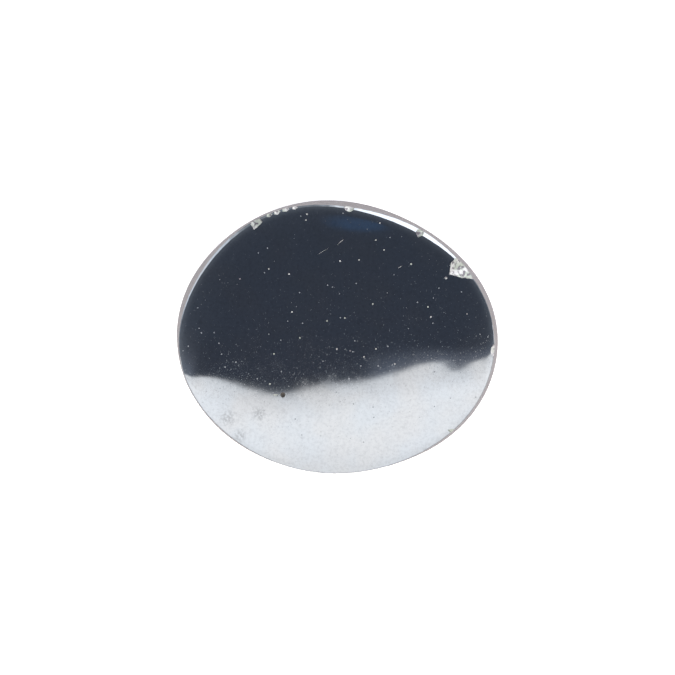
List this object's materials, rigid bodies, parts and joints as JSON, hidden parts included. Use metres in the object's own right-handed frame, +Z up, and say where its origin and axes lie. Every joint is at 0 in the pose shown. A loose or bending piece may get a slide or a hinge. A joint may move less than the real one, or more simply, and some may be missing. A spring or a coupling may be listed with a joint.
{
  "type": "hematite cabochon",
  "caption": "Oval flat-topped stone of hematite with a mirror-polished face, a narrow edge facet, a ground wall and a chipped rim, lying on its flat back.",
  "frame": {"origin": "on the surface that the stone rests on, at the middle of its flat back", "axes": "+Z up out of the polished face, X along the long axis of the oval, Y along the short axis"},
  "size_m": [0.012, 0.0101, 0.003],
  "materials": {
    "hematite": "mirror polished, dark steel grey; ground wall and back"
  },
  "bodies": {
    "root": {"hematite_stone": "hematite"}
  },
  "joints": []
}
